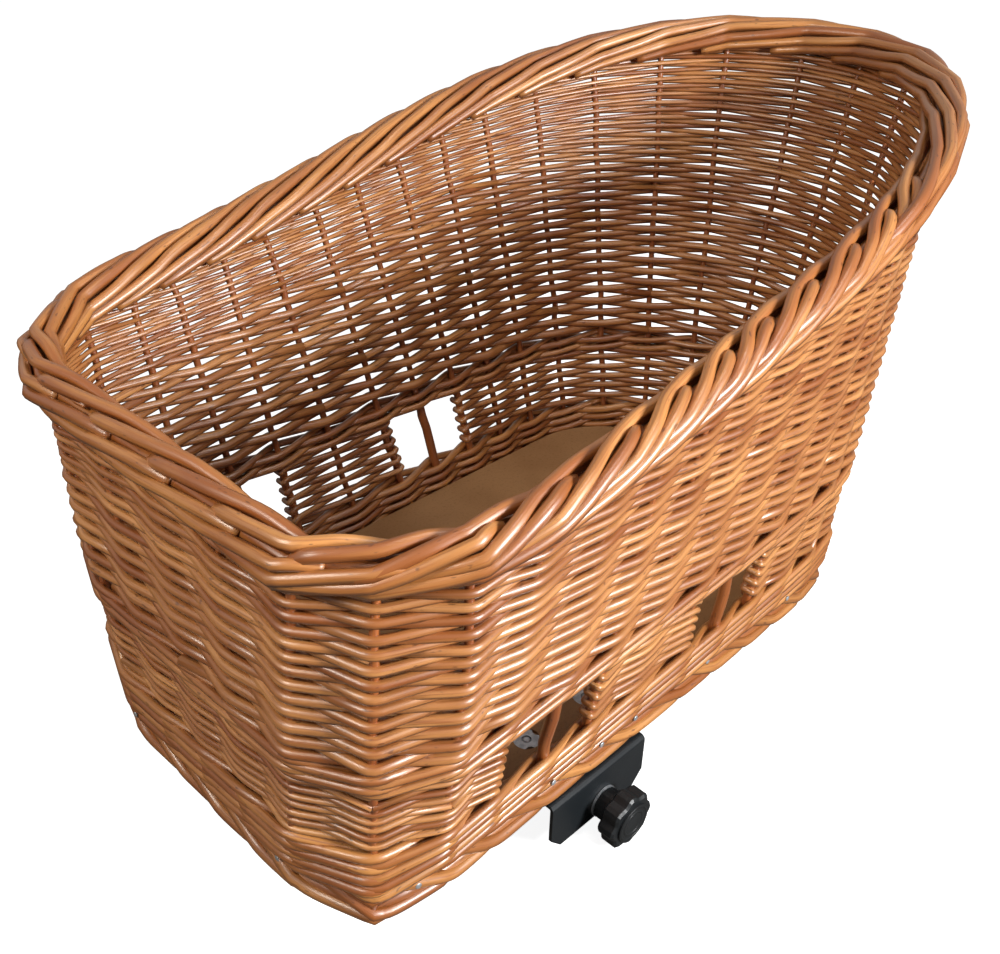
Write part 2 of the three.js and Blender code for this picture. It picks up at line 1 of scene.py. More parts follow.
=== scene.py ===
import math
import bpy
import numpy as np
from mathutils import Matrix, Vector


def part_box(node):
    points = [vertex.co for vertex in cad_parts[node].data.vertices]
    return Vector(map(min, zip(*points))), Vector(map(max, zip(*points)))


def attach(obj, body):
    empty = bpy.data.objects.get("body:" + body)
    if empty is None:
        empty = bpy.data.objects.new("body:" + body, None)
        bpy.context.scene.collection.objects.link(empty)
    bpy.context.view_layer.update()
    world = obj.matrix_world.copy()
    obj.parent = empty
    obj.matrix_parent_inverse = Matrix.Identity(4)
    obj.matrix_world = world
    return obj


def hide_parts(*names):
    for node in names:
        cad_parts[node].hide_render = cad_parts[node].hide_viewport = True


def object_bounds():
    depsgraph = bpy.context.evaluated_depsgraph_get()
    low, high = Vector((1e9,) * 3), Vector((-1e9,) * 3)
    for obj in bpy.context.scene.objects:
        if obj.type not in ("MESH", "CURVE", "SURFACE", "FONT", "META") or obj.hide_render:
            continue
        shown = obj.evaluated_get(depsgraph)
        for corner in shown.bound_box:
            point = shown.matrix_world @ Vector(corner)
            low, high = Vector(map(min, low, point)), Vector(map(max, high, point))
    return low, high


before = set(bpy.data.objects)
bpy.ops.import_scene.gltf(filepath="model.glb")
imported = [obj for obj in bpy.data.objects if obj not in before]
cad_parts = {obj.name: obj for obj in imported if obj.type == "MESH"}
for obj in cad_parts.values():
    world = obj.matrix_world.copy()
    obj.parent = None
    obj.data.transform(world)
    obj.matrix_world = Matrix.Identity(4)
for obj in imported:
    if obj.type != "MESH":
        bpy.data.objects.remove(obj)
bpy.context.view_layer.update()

# %% [markdown]
# # A wicker dog basket for a bicycle carrier
# The frame that was just loaded holds every rigid piece at its real place, in metres. This lesson keeps the
# board, the bracket and the clamps as they are, gives them better surfaces, and weaves the wicker rod by rod in
# place of the plain bands. The woven basket may hardly leave it.

rng = np.random.default_rng(7)
MM = 0.001

# %% [markdown]
# ## Foot and mouth
# A basket is woven on upright stakes, so its wall is known once the outlines of the foot and of the mouth and the
# lines between them are known. Both outlines have a straight front, two rounded front corners and a long rounded
# back. Lengths are in millimetres here, and the basket's own zero lies at the front of the foot, on its underside.

# %% Foot and mouth outlines
BASKET_PLACE = np.array([-194.5, 0.0, 2.8])
MOUTH_FRONT = -4
MOUTH_BACK = 605
RIM_HEIGHTS = (263, 279, 359, 377)


def half_outline(front, half_width, corner, straight_end, back_end, roundness):
    """Points of the right half from the middle of the front to the middle of the back, and their distances."""
    turn = np.linspace(0, np.pi / 2, 25)
    arc = np.linspace(0, np.pi / 2, 61)
    x = np.r_[front, front + corner * (1 - np.cos(turn)),
              straight_end + (back_end - straight_end) * np.sin(arc) ** (2 / roundness)]
    y = np.r_[0, half_width - corner * (1 - np.sin(turn)),
              half_width * np.clip(np.cos(arc), 0, 1) ** (2 / roundness)]
    steps = np.hypot(np.diff(x), np.diff(y))
    return x, y, np.r_[0, np.cumsum(steps)]


def rim_height(x):
    """Height of the rim's top over a point x of the mouth: low at the front, rising in one sweep to the back."""
    front, after_front, before_back, back = RIM_HEIGHTS
    share = (np.asarray(x, float) - MOUTH_FRONT) / (MOUTH_BACK - MOUTH_FRONT)
    rest = 1 - share
    return (rest ** 3 * front + 3 * rest ** 2 * share * after_front
            + 3 * rest * share ** 2 * before_back + share ** 3 * back)


foot = half_outline(front=0, half_width=140, corner=50, straight_end=438, back_end=534, roundness=2)
mouth = half_outline(front=MOUTH_FRONT, half_width=185.5, corner=70, straight_end=305, back_end=MOUTH_BACK,
                     roundness=2.13)
print("foot outline", round(2 * foot[2][-1]), "mm round, mouth", round(2 * mouth[2][-1]), "mm round")

# %% [markdown]
# ## Lines up the wall
# A place round the wall is a number: 0 at the middle of the front, rising along the right side, and 49 back at the
# front. The edges of the windows have fixed places, at the foot and on the mouth. Behind the windows the upper
# ends of the lines lag a little, so that the lines fan out towards the back.

# %% Places round the wall
ROUND = 49.0
WALL = 11.0
BACK_FROM = 17
BACK_PLACES = 7.5
BACK_LAG = 0.3
window_feet = np.array([98, 178, 278, 358.0])
window_heads = window_feet - 10 - 0.14 * (window_feet - 98)
knots = np.array([0, 10, 12, 15, 17, 24.5])
foot_knots = np.r_[0, np.interp(window_feet, foot[0], foot[2]), foot[2][-1]]
mouth_knots = np.r_[0, np.interp(window_heads, mouth[0], mouth[2]), mouth[2][-1]]


def wall_line(place):
    """Lower and upper end of the wall's slanting line at a place round the basket."""
    place = np.mod(np.asarray(place, float), ROUND)
    left = place > ROUND / 2
    half = np.where(left, ROUND - place, place)
    side = np.where(left, 1.0, -1.0)
    low = np.interp(half, knots, foot_knots)
    share = (half - BACK_FROM) / BACK_PLACES
    lagging = BACK_FROM + BACK_PLACES * (share - BACK_LAG * share * (1 - share))
    high = np.interp(np.where(half > BACK_FROM, lagging, half), knots, mouth_knots)
    bottom = np.stack([np.interp(low, foot[2], foot[0]), side * np.interp(low, foot[2], foot[1]), 0 * low], -1)
    x = np.interp(high, mouth[2], mouth[0])
    top = np.stack([x, side * np.interp(high, mouth[2], mouth[1]), rim_height(x)], -1)
    return bottom, top


def wall_face(place, z):
    """Point of the wall's outer face at a place and a height."""
    bottom, top = wall_line(place)
    return bottom + (top - bottom) * (np.asarray(z, float) / top[..., 2])[..., None]


def wall_outward(place, z):
    """Level direction that points out of the wall."""
    beside = 0.3
    along = wall_face(np.asarray(place) + beside, z) - wall_face(np.asarray(place) - beside, z)
    normal = np.stack([along[..., 1], -along[..., 0], 0 * along[..., 0]], -1)
    return normal / np.linalg.norm(normal, axis=-1, keepdims=True)


for place in (0, 11, ROUND / 2):
    print("place", place, "reaches", wall_line(place)[1].round().tolist())

# %% [markdown]
# ## The stakes
# The real basket has 37 stakes: wide apart on the front, closer at the windows and round the back. Weaving
# drags them a little round the basket as it grows, so each stands at one place low down and at another near the
# rim. Rods run straight from stake to stake, so between stakes the wall is flat. The stakes at the front corners
# are drawn inwards, most of all under the rim.

# %% Where the 37 stakes stand
LOW_LEVEL = 80
HIGH_LEVEL = 250
left_low = [1.93, 3.97, 6.4, 8.5, 10, 11, 12, 13.5, 15, 16, 17, 18, 19, 20.05, 21.1, 22.15, 23.15, 24.1]
right_low = left_low[:5] + [11.2, 12.25] + left_low[7:]
left_high = [2.32, 4.65, 6.5, 8.63, 10.05, 10.9, 12, 13.2, 14.7, 15.8, 16.9, 18, 19, 20.05, 21.1, 22.15, 23.1,
             24.1]
right_high = [2.32, 4.65, 6.5, 8.67, 10.2, 11.6, 12.8, 14.0, 15.1, 16.2, 17.3, 18.3, 19.2, 20.2, 21.2, 22.2, 23.2,
              24.1]
stake_low = np.array([0] + right_low + [ROUND - p for p in reversed(left_low)])
stake_high = np.array([0] + right_high + [ROUND - p for p in reversed(left_high)])
STAKES = len(stake_low)
# The stakes that are drawn inwards, by number: heights, and how far the stake is drawn in there.
drawn_in = {3: ([5, 25, 50, 200, 240], [-4, -3, 4.5, 4.5, 13]), 4: ([200, 240], [0, 6]),
            STAKES - 3: ([5, 120, 200], [-6, -4, 3])}


def stake_place(index, z):
    """Place round the wall of a stake, by its number, at a height."""
    number = np.mod(np.asarray(index, int), STAKES)
    climb = (np.asarray(z, float) - LOW_LEVEL) / (HIGH_LEVEL - LOW_LEVEL)
    return stake_low[number] + (stake_high[number] - stake_low[number]) * climb


def rim_level(index):
    """Height of the rim's top over a stake."""
    return wall_line(stake_place(index, HIGH_LEVEL))[1][..., 2]


def stake_point(index, z, outwards=0.0):
    """Middle of a stake at a height, moved outwards by a distance."""
    place = stake_place(index, z)
    normal = wall_outward(place, z)
    number = np.mod(np.asarray(index, int), STAKES)
    pull = np.zeros(np.broadcast(number, z).shape)
    for drawn, (heights, distances) in drawn_in.items():
        pull = np.where(number == drawn, np.interp(z, heights, distances), pull)
    return wall_face(place, z) + normal * (np.asarray(outwards, float) - WALL / 2 - pull)[..., None]


print(STAKES, "stakes, the rim", round(float(rim_level(0))), "to", round(float(rim_level(18))), "mm high")

# %% [markdown]
# ## Rods
# A rod is a curve with a round section. A whole layer of rods is drawn as one curve object with a spline for
# each rod, and then turned into a mesh, which is much quicker than a hundred separate pipes. The corners of a
# rod's path are rounded, because a willow rod can't kink like wire. Every point of the mesh also keeps its place
# on the straight rod, so that the grain of the wood can follow the bends, the rod's tint, and how far it faces
# down.

# %% Drawing rods
RING = 8
SHORTEST_STEP = 0.2
END_LENGTH = 0.3
END_RADIUS = 0.02
WELD = 0.00006


def rounded(corners, roundness=0.12, samples=3):
    """The path through a rod's corner points with each corner rounded off; a radius may follow each point."""
    corners = np.asarray(corners, float)
    before, corner, after = corners[:-2], corners[1:-1], corners[2:]
    start = corner + roundness * (before - corner)
    end = corner + roundness * (after - corner)
    share = np.linspace(0, 1, samples + 1)[None, :, None]
    bends = ((1 - share) ** 2 * start[:, None] + 2 * share * (1 - share) * corner[:, None]
             + share ** 2 * end[:, None])
    return np.concatenate([corners[:1], bends.reshape(-1, corners.shape[1]), corners[-1:]])


def keep(mesh, name, kind, values):
    """Stores a value or a vector for each point of a mesh, under a name that a material can read."""
    attribute = mesh.attributes.new(name, kind, "POINT")
    attribute.data.foreach_set("vector" if kind == "FLOAT_VECTOR" else "value", np.ravel(values))


class Rods:
    """Collects the rods of one layer and makes them one mesh."""

    def __init__(self):
        self.paths = []

    def add(self, path, taper=0.0, tint=None):
        """A rod along points in basket millimetres with a radius each, thinner at its end by the share in taper."""
        path = np.asarray(path, float)
        steps = np.linalg.norm(np.diff(path[:, :3], axis=0), axis=1)
        path = path[np.r_[True, steps > SHORTEST_STEP]]
        points = path[:, :3]
        along = np.r_[0, np.cumsum(np.linalg.norm(np.diff(points, axis=0), axis=1))]
        wave = rng.uniform(0, 2 * np.pi)
        unevenness = 1 + 0.03 * np.sin(along / 17 + wave) + 0.02 * np.sin(along / 7.3 + 2 * wave)
        radii = path[:, 3] * (1 - taper * along / along[-1]) * unevenness
        tint = rng.uniform(0, 1) if tint is None else tint
        self.paths.append((points, radii, along, tint))

    def draw(self, name):
        """One curve with a spline for each rod, and the places and tints that its mesh points will keep."""
        curve = bpy.data.curves.new(name, "CURVE")
        curve.dimensions = "3D"
        curve.bevel_depth = 1.0
        curve.bevel_resolution = RING // 2 - 2
        space, tints = [], []
        angles = 2 * np.pi * np.arange(RING) / RING
        for points, radii, along, tint in self.paths:
            start, end = points[1] - points[0], points[-1] - points[-2]
            first = points[0] - start / np.linalg.norm(start) * END_LENGTH
            last = points[-1] + end / np.linalg.norm(end) * END_LENGTH
            points = np.concatenate([[first], points, [last]])
            radii = np.r_[END_RADIUS, radii, END_RADIUS]
            along = np.r_[along[0] - END_LENGTH, along, along[-1] + END_LENGTH]
            spline = curve.splines.new("POLY")
            spline.points.add(len(points) - 1)
            placed = (points + BASKET_PLACE) * MM
            spline.points.foreach_set("co", np.c_[placed, np.ones(len(placed))].ravel())
            spline.points.foreach_set("radius", radii * MM)
            offset = rng.uniform(-0.5, 0.5, 3)
            rings = np.stack([radii[:, None] * np.cos(angles), radii[:, None] * np.sin(angles),
                              np.repeat(along[:, None], RING, 1)], -1)
            space.append(rings.reshape(-1, 3) * MM + offset)
            tints.append(np.full(len(points) * RING, tint))
        return curve, np.concatenate(space), np.concatenate(tints)

    def make(self, name, slot, material, *nodes):
        """Turns the collected rods into one mesh piece that stands for CAD nodes."""
        curve, space, tints = self.draw(name)
        piece = bpy.data.objects.new(name, curve)
        bpy.context.collection.objects.link(piece)
        bpy.ops.object.select_all(action="DESELECT")
        piece.select_set(True)
        bpy.context.view_layer.objects.active = piece
        bpy.ops.object.convert(target="MESH")
        piece = bpy.context.view_layer.objects.active
        mesh = piece.data
        if len(mesh.vertices) != len(space):
            raise ValueError(f"{name}: {len(mesh.vertices)} points, not {len(space)}")
        keep(mesh, "rod_space", "FLOAT_VECTOR", space)
        keep(mesh, "tint", "FLOAT", tints)
        bpy.ops.object.mode_set(mode="EDIT")
        bpy.ops.mesh.select_all(action="SELECT")
        bpy.ops.mesh.remove_doubles(threshold=WELD)
        bpy.ops.mesh.normals_make_consistent(inside=False)
        bpy.ops.object.mode_set(mode="OBJECT")
        bpy.ops.object.shade_smooth()
        normals = np.empty(3 * len(mesh.vertices))
        mesh.vertex_normals.foreach_get("vector", normals)
        # How far each point faces down, which the willow finish uses to paint shade on the undersides.
        keep(mesh, "facing_down", "FLOAT", np.clip(-normals[2::3], 0, 1))
        mesh.materials.clear()
        mesh.materials.append(material)
        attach(piece, "basket")
        if nodes:
            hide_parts(*nodes)
        mesh.calc_loop_triangles()
        print(name, len(self.paths), "rods,", len(mesh.loop_triangles), "triangles")


# %% [markdown]
# ## Shader sums
# Materials are written as sums. This small class wraps a socket of a node, so that adding or multiplying two
# sockets adds the Math node that does it, and any other node comes from one method. Colours are mixed with the
# Mix node and vectors are reckoned with the Vector Math node.

# %% A socket that can be reckoned with
class Socket:
    """A node's output in a material, with the usual operators for values."""

    def __init__(self, tree, output=None):
        self.tree = tree
        self.output = output

    def node(self, kind, settings=None, **inputs):
        """Adds a node, sets its settings first, then its sockets by name or number, and returns the node."""
        made = self.tree.nodes.new(kind)
        for key, value in (settings or {}).items():
            setattr(made, key, value)
        for key, value in inputs.items():
            name = int(key[1:]) if key[0] == "i" and key[1:].isdigit() else key.replace("_", " ")
            if isinstance(value, Socket):
                self.tree.links.new(value.output, made.inputs[name])
            else:
                made.inputs[name].default_value = value
        return made

    def of(self, kind, settings=None, out=0, **inputs):
        """The output of a new node."""
        return Socket(self.tree, self.node(kind, settings, **inputs).outputs[out])

    def _math(self, operation, first, second):
        return self.of("ShaderNodeMath", {"operation": operation}, i0=first, i1=second)

    def __add__(self, other):
        return self._math("ADD", self, other)

    __radd__ = __add__

    def __sub__(self, other):
        return self._math("SUBTRACT", self, other)

    def __rsub__(self, other):
        return self._math("SUBTRACT", other, self)

    def __mul__(self, other):
        return self._math("MULTIPLY", self, other)

    __rmul__ = __mul__

    def between(self, low, high):
        """0 below low, 1 above high, smooth between."""
        return self.of("ShaderNodeMapRange", {"interpolation_type": "SMOOTHSTEP"}, Value=self,
                       From_Min=low, From_Max=high)

    def mix(self, first, second):
        """first where this is 0, second where it is 1, both colours."""
        return self.of("ShaderNodeMix", {"data_type": "RGBA"}, out=2, i0=self, i6=first, i7=second)


def finish_named(name):
    """A new material and its shader, with a starting point for sums."""
    material = bpy.data.materials.new(name)
    material.use_nodes = True
    tree = material.node_tree
    return material, tree.nodes["Principled BSDF"], Socket(tree)


def put(shader, **links):
    """Links sums to the shader's sockets, or sets plain values there."""
    for key, value in links.items():
        socket = shader.inputs[key.replace("_", " ")]
        if isinstance(value, Socket):
            value.tree.links.new(value.output, socket)
        else:
            socket.default_value = value


def srgb(red, green, blue):
    """A colour as read off a picture, for a socket."""
    def linear(value):
        value = value / 255
        return value / 12.92 if value <= 0.04045 else ((value + 0.055) / 1.055) ** 2.4
    return linear(red), linear(green), linear(blue), 1.0


# %% [markdown]
# ## Varnished willow
# The rods are peeled, boiled and varnished: golden to red brown, each rod its own shade, with fine streaks along
# it, small dark specks and a gloss. The streaks are noise read in the rod's own space, drawn out along the rod.
# The undersides of the rods are darkened as painted shade, towards the same dark brown as the specks.

# %% The willow finish
def willow_finish(name, pale, deep):
    """Varnished willow between two shades."""
    material, shader, start = finish_named(name)
    space = start.of("ShaderNodeAttribute", {"attribute_name": "rod_space"}, out=1)
    tint = start.of("ShaderNodeAttribute", {"attribute_name": "tint"}, out=2)
    down = start.of("ShaderNodeAttribute", {"attribute_name": "facing_down"}, out=2)
    streak_space = start.of("ShaderNodeMapping", Vector=space, Scale=(900, 900, 28))
    streak = start.of("ShaderNodeTexNoise", Vector=streak_space, Scale=1.0, Detail=3.0, Roughness=0.6)
    blotch_space = start.of("ShaderNodeMapping", Vector=space, Scale=(120, 120, 14))
    blotch = start.of("ShaderNodeTexNoise", Vector=blotch_space, Scale=1.0, Detail=2.0)
    speck_space = start.of("ShaderNodeMapping", Vector=space, Scale=(500, 500, 160))
    speck = start.of("ShaderNodeTexNoise", Vector=speck_space, Scale=1.0, Detail=1.0)
    # Dark brown for the specks and for the painted shade on the undersides.
    speck_and_shade_dark = srgb(84, 40, 17)
    wood = (tint * 0.65 + blotch.between(0.32, 0.68) * 0.55).mix(pale, deep)
    streaked = (streak.between(0.45, 0.7) * 0.75).mix(wood, deep)
    spotted = (speck.between(0.68, 0.76) * 0.6).mix(streaked, speck_and_shade_dark)
    # Painted shade: points that face down are darkened towards the dark brown.
    shaded = (down.between(0.0, 0.55) * 0.75).mix(spotted, speck_and_shade_dark)
    bump = start.of("ShaderNodeBump", Height=streak + blotch * 0.6, Distance=0.0005, Strength=0.6)
    put(shader, Base_Color=shaded, Roughness=streak * 0.16 + 0.32, Normal=bump, Coat_Weight=1.0,
        Coat_Roughness=0.33, Specular_IOR_Level=0.7)
    return material


willow_thin = willow_finish("willow_weave", srgb(223, 157, 92), srgb(152, 84, 34))
willow_thick = willow_finish("willow_border", srgb(216, 150, 82), srgb(158, 89, 36))
willow_stake = willow_finish("willow_stakes", srgb(190, 112, 52), srgb(140, 70, 28))
print("willow finishes:", willow_thin.name, willow_thick.name, willow_stake.name)

# %% [markdown]
# ## The stakes as rods
# Most stakes show only as glimpses between the weavers and as uprights inside. The middle stake of each window
# stands bare and is thicker, and so are the stakes at the windows' edges, up to a little over the windows.

# %% Stakes
STAKE_FOOT = 6
STAKE_UNDER_RIM = 14
STAKE_POINTS = 24
STAKE_BOTTOM_RADIUS = 2.6
STAKE_TOP_RADIUS = 2.3
BARE_RADIUS = 3.8
EDGE_RADIUS = 3.0
THICK_OVER_WINDOW = 20
STAKE_SWAY = 0.5
WINDOW_LOW = 54.0
WINDOW_HIGH = 104.0
bare_stakes = [6, 10, STAKES - 6, STAKES - 10]
edge_stakes = [5, 7, 9, 11, STAKES - 5, STAKES - 7, STAKES - 9, STAKES - 11]
window_radius = {**dict.fromkeys(bare_stakes, BARE_RADIUS), **dict.fromkeys(edge_stakes, EDGE_RADIUS)}
stakes = Rods()
for index in range(STAKES):
    top = rim_level(index) - STAKE_UNDER_RIM
    levels = np.linspace(STAKE_FOOT, top, STAKE_POINTS)
    radii = np.interp(levels, [0, top], [STAKE_BOTTOM_RADIUS, STAKE_TOP_RADIUS])
    thick = np.interp(levels, [WINDOW_HIGH, WINDOW_HIGH + THICK_OVER_WINDOW], [window_radius.get(index, 0), 0])
    sway = rng.normal(0, STAKE_SWAY, (STAKE_POINTS, 3)) * [1, 1, 0]
    path = stake_point(np.full(STAKE_POINTS, index), levels) + sway
    stakes.add(np.c_[path, np.maximum(radii, thick)], tint=rng.uniform(0.2, 0.7))
window_stake_nodes = [f"{window}_window_{part}_stake_{side}" for window in ("front", "rear")
                      for part in ("front_edge", "middle", "rear_edge") for side in ("right", "left")]
stakes.make("wall_stakes", "willow_stakes", willow_stake, *window_stake_nodes)

# %% [markdown]
# ## Weaving in and out
# The upper wall is plain weaving: a rod passes outside one stake and inside the next, and the next row does the
# opposite. With an odd number of stakes one endless spiral does this by itself, so the rows are one long path.
# Rows are wide apart low down and close together near the top, and closest under the rim of the left side. A
# step of the spiral is the way from one stake to the next.

# %% The spiral's heights
SIDING_START = 121.0
SIDING_END = 372
RIM_DEPTH = 17
PACKED_DEPTH = 68
ROW_WOBBLE = 0.12
FIRST_PITCH = 5.35
FIRST_PITCH_LEVEL = 130
PITCH_LOSS = 0.0135
LEAST_PITCH = 3.3


def row_pitch(z):
    """Height of one row of the upper wall at a height."""
    return np.maximum(FIRST_PITCH - PITCH_LOSS * (z - FIRST_PITCH_LEVEL), LEAST_PITCH)


def packing(place):
    """How closely the last rows under the rim are packed: the left side has finer rods than the rest."""
    return np.interp(place, [25, 27.5, 30, 33, 38, 45, 48], [1, 0.85, 0.7, 0.68, 0.62, 0.68, 1])


row_levels = [SIDING_START]
while row_levels[-1] < SIDING_END:
    row_levels.append(row_levels[-1] + row_pitch(row_levels[-1]))
row_levels = np.array(row_levels)
row_wobble = rng.normal(0, ROW_WOBBLE, (len(row_levels) + 2, STAKES))
steps = np.arange((len(row_levels) - 1) * STAKES)
plain_levels = np.interp(steps / STAKES, np.arange(len(row_levels)), row_levels)
closeness = packing(stake_place(steps, HIGH_LEVEL))
packed_from = rim_level(steps) - PACKED_DEPTH
levels = np.where(plain_levels < packed_from, plain_levels,
                  packed_from + (plain_levels - packed_from) * closeness)
pitches = row_pitch(plain_levels) * np.where(plain_levels < packed_from, 1, closeness)
levels = levels + row_wobble[steps // STAKES, steps % STAKES] * pitches
under_rim = levels < rim_level(steps) - RIM_DEPTH
print(len(row_levels), "rows of siding,", int(under_rim.sum()), "steps under the rim")

# %% [markdown]
# ## Cutting the spiral into rods
# A rod lasts for 16 to 33 steps. It ends inside the basket, where a weaver hides it, or under the rim, where the
# slope of the rim cuts the row off. The rods are sorted into three layers by their height.

# %% The upper siding
ROD_STEPS = (16, 34)
SIDING_REACH = 0.88
SIDING_RADIUS = 0.66
LAYER_TOPS = {"low": 175, "middle": 235, "high": 400}
siding = {layer: Rods() for layer in LAYER_TOPS}


def siding_rod(chosen):
    """Adds the rod that runs through some steps of the spiral."""
    z = levels[chosen]
    reach = np.where(chosen % 2 == 0, SIDING_REACH, -SIDING_REACH) * pitches[chosen]
    reach = reach + rng.normal(0, 0.2, len(chosen))
    radii = SIDING_RADIUS * pitches[chosen] * rng.uniform(0.93, 1.05)
    layer = next(name for name, top in LAYER_TOPS.items() if z.mean() < top)
    siding[layer].add(rounded(np.c_[stake_point(chosen, z, reach), radii]), taper=0.1)


rod_start = None
for step in steps:
    if rod_start is None and under_rim[step]:
        rod_start = step
        rod_end = step + int(rng.integers(*ROD_STEPS))
    if rod_start is None:
        continue
    full_length = step >= rod_end and step % 2
    if not (full_length or step == steps[-1] or not under_rim[step]):
        continue
    if step - rod_start > 1:
        siding_rod(np.arange(rod_start, step + 1))
    rod_start = step if under_rim[step] else None
    rod_end = step + int(rng.integers(*ROD_STEPS))
siding["low"].make("upper_siding_low", "willow_weave", willow_thin, "upper_siding")
siding["middle"].make("upper_siding_middle", "willow_weave", willow_thin)
siding["high"].make("upper_siding_high", "willow_weave", willow_thin)

# %% [markdown]
# ## Bands beside the windows
# Level with the windows each band is woven by itself. At a window its rod turns round the edge stake and goes
# back, so both edges of a window are a stack of loops.

# %% Window bands
BAND_RADIUS = 0.56
BAND_REACH = 3.6
LOOP_BEYOND = 3.6
LOOP_WIDTH = 3.4


def woven_band(name, first, last, rows, node):
    """Weaves back and forth between two stakes with a loop round each of them."""
    band = Rods()
    pitch = (WINDOW_HIGH - WINDOW_LOW) / rows
    path = []
    for row in range(rows):
        z = WINDOW_LOW + (row + 0.5) * pitch
        onward = row % 2 == 0
        for index in range(first, last + 1) if onward else range(last, first - 1, -1):
            outside = (index + row) % 2 == 0
            reach = (BAND_REACH if outside else -BAND_REACH) + rng.normal(0, 0.2)
            path.append(stake_point(index, z + rng.normal(0, 0.1 * pitch), reach))
        end = last if onward else first
        along = stake_point(end + (1 if onward else -1), z) - stake_point(end, z)
        beyond = stake_point(end, z + 0.5 * pitch) + along / np.linalg.norm(along) * LOOP_BEYOND
        turn = wall_outward(stake_place(end, z), z) * (LOOP_WIDTH if (end + row) % 2 == 0 else -LOOP_WIDTH)
        path += [beyond + turn, beyond - turn]
    path = np.array(path)
    cuts = list(range(0, len(path) - 3, int(rng.integers(24, 34)))) + [len(path)]
    for start, stop in zip(cuts[:-1], cuts[1:]):
        piece = path[start:min(stop + 1, len(path))]
        if len(piece) > 2:
            radii = np.full(len(piece), BAND_RADIUS * pitch * rng.uniform(0.94, 1.04))
            band.add(rounded(np.c_[piece, radii], 0.16, 3))
    band.make(name, "willow_weave", willow_thin, node)


woven_band("front_band_rods", -5, 5, 14, "front_window_band")
woven_band("rear_band_rods", 11, STAKES - 11, 11, "rear_window_band")
woven_band("middle_panel_rods_right", 7, 9, 12, "middle_panel_right")
woven_band("middle_panel_rods_left", STAKES - 9, STAKES - 7, 12, "middle_panel_left")

# %% [markdown]
# ## Wales
# A wale is a strong row of three rods. Each passes outside two stakes and behind one, one stake after the other,
# so that outside they lie on each other like a rope laid flat.

# %% Wales under and over the windows
# At three stakes in turn: how far out a rod lies, and its height as a share of its climb.
WALE_STEPS = [(-4.6, -0.2), (4.0, -0.55), (5.4, 0.75)]


def wale(rods, level, radius, climb):
    """One round of waling at a height with three rods; climb is how far a rod rises while it lies outside."""
    for rod in range(3):
        corners = []
        for index in range(rod, STAKES + rod + 3):
            out, lift = WALE_STEPS[(index - rod) % 3]
            corners.append(stake_point(index, level + lift * climb + rng.normal(0, 0.2), out))
        radii = np.full(len(corners), radius * rng.uniform(0.95, 1.05))
        rods.add(rounded(np.c_[corners, radii], 0.18, 4))


bottom_wale = Rods()
for level in (25.0, 32.5, 40.0, 47.5):
    wale(bottom_wale, level, radius=3.1, climb=5.2)
bottom_wale.make("bottom_wale_rods", "willow_weave", willow_thick, "bottom_wale")
window_wale = Rods()
for level in (107.2, 114.6):
    wale(window_wale, level, radius=2.7, climb=4.2)
window_wale.make("window_wale_rods", "willow_weave", willow_thin, "window_wale")

# %% [markdown]
# ## Border strands
# A border is made of strands, one or two for each stake, that all follow the same steps. A step says how many
# stakes on a strand has come, how far out of the wall it lies and how high. Inside a border runs a hidden core
# rod, so that no light shows between the strands.

# %% Strands laid along the stakes
STRAND_SPACING = 0.1
STRAND_TAPER = 0.08


def strand(rods, index, strand_steps, radius, border_point):
    """Adds the border strand that starts at a stake."""
    corners = rounded(strand_steps, 0.3, 4)
    at = np.arange(corners[0, 0], corners[-1, 0], STRAND_SPACING)
    at = np.unique(np.round(np.r_[at, corners[-1, 0]], 3))
    out = np.interp(at, corners[:, 0], corners[:, 1])
    height = np.interp(at, corners[:, 0], corners[:, 2])
    points = [border_point(index + t, o, h) for t, o, h in zip(at, out, height)]
    radii = np.full(len(points), radius * rng.uniform(0.95, 1.05))
    rods.add(np.c_[points, radii], taper=STRAND_TAPER)


def core_rod(rods, out, height, radius, border_point):
    """Adds a hidden rod that runs once round the basket inside a border."""
    places = np.arange(0, STAKES + 0.6, 0.5)
    rods.add([np.r_[border_point(place, out, height), radius] for place in places], tint=1.0)


def between_stakes(index, stake_level, out):
    """Point between two stakes, each taken at its own height."""
    before = int(math.floor(index))
    share = index - before
    ends = [stake_point(number, stake_level(number), out) for number in (before, before + 1)]
    return ends[0] * (1 - share) + ends[1] * share


# %% [markdown]
# ## Foot border
# The lower ends of the stakes are bent down and laid under each other, one strand for each stake. Seen from
# outside each slants down from the wale and slips underneath.

# %% Foot strands
FOOT_LEVEL = 20.0
FOOT_ROD = 4.1
foot_steps = [(0, -7.0, 30.0), (0.12, -5.2, 25.5), (0.45, -4.0, 19.5), (0.95, -3.2, 9.8), (1.25, -2.9, 4.8),
              (2.1, -4.4, 3.9), (2.4, -9.0, 4.4), (2.8, -12.5, 6.5)]


def foot_point(index, out, up):
    """Point beside the foot: out of the wall's face and above the underside."""
    point = between_stakes(index, lambda number: FOOT_LEVEL, WALL / 2 + out)
    return np.array([point[0], point[1], up])


foot_border = Rods()
for index in range(STAKES):
    strand(foot_border, index, foot_steps, FOOT_ROD, foot_point)
core_rod(foot_border, -8.5, 7.5, 5.6, foot_point)
core_rod(foot_border, -7.5, 17.5, 5.4, foot_point)
foot_border.make("foot_border_rods", "willow_border", willow_thick, "foot_border")

# %% [markdown]
# ## Nail heads
# Small nails hold the foot of the wicker to the board's edge. Only their heads show, sunk a little between the
# rods, so one flattened ball is modelled and copied to each nail's place.

